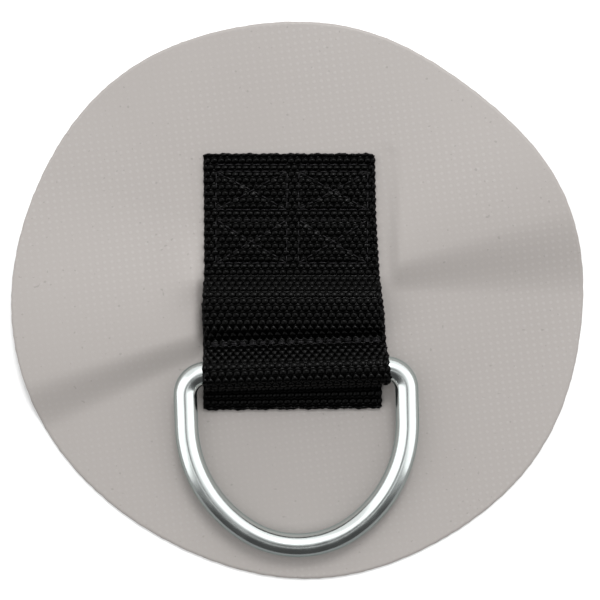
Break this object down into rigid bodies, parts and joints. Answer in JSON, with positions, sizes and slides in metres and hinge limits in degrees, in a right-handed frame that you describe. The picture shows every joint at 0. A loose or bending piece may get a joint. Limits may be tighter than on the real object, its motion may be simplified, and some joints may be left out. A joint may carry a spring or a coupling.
{
  "type": "pad eye",
  "caption": "Soft pad eye for an inflatable boat: a welded D-ring swings in a loop of webbing sewn on a round coated-fabric patch that is glued down.",
  "frame": {"origin": "middle of the patch's underside, which is the face that is glued to the boat", "axes": "+Z points away from the glued face; the ring lies towards -Y and the strap's sewn end is towards +Y; +X is to the right with the ring nearest the viewer"},
  "size_m": [0.1602, 0.1556, 0.0117],
  "materials": {
    "patch": "satin",
    "webbing": "satin",
    "ring": "polished",
    "thread": "satin"
  },
  "bodies": {
    "patch": {"base_patch": "patch", "webbing_strap": "webbing", "needle_thread_upper_left": "thread", "needle_thread_upper_right": "thread", "needle_thread_lower_left": "thread", "needle_thread_lower_right": "thread", "needle_thread_bar_seam": "thread", "bobbin_thread_upper_left": "thread", "bobbin_thread_upper_right": "thread", "bobbin_thread_lower_left": "thread", "bobbin_thread_lower_right": "thread", "bobbin_thread_bar_seam": "thread"},
    "ring": {"d_ring": "ring"}
  },
  "joints": [
    {"name": "ring_swing", "type": "hinge", "parent": "patch", "child": "ring", "pos_m": [-0.0002, -0.0193, 0.007], "axis": [-0.9996, -0.0297, 0], "range_deg": [0, 184.5]}
  ]
}
